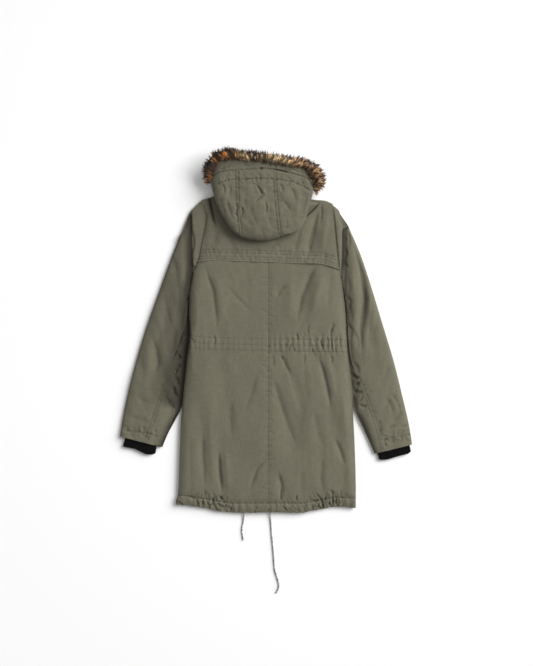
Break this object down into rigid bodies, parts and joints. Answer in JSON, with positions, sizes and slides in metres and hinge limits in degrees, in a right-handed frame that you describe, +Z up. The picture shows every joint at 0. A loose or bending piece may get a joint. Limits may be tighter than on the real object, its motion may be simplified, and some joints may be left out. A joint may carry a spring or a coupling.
{
  "type": "fur trimmed parka",
  "caption": "Olive padded parka with a fur-trimmed hood, rib cuffs and a hem drawcord, zipped and laid flat with its back up.",
  "frame": {"origin": "centre of the parka's outline on the surface it lies on, without the free cord ends", "axes": "+Z up from the surface, through the fronts to the back; +Y from the hem towards the hood; +X to the right of someone looking down on the back"},
  "size_m": [0.831, 1.2675, 0.0702],
  "materials": {
    "padded_cloth": "matte woven polyester and cotton, olive",
    "rib_knit": "matte black rib knit",
    "faux_fur": "long pile, brown with golden and black-brown tips",
    "braided_cord": "matte braided cord, mottled grey",
    "zip": "satin black plastic",
    "leather_patch": "smooth reddish brown leather"
  },
  "bodies": {
    "root": {"front_left": "padded_cloth", "front_right": "padded_cloth", "front_zip": "zip", "collar_left": "padded_cloth", "collar_right": "padded_cloth", "back_left": "padded_cloth", "back_right": "padded_cloth", "back_yoke": "padded_cloth", "sleeve_left_top": "padded_cloth", "sleeve_left_under": "padded_cloth", "sleeve_right_top": "padded_cloth", "sleeve_right_under": "padded_cloth", "cuff_left": "rib_knit", "cuff_right": "rib_knit", "sleeve_patch": "leather_patch", "hood_nape": "padded_cloth", "hood_centre": "padded_cloth", "hood_side_left": "padded_cloth", "hood_side_right": "padded_cloth", "fur_strip": "padded_cloth", "fur_trim": "faux_fur", "hem_cord_left": "braided_cord", "hem_cord_right": "braided_cord"}
  },
  "joints": []
}
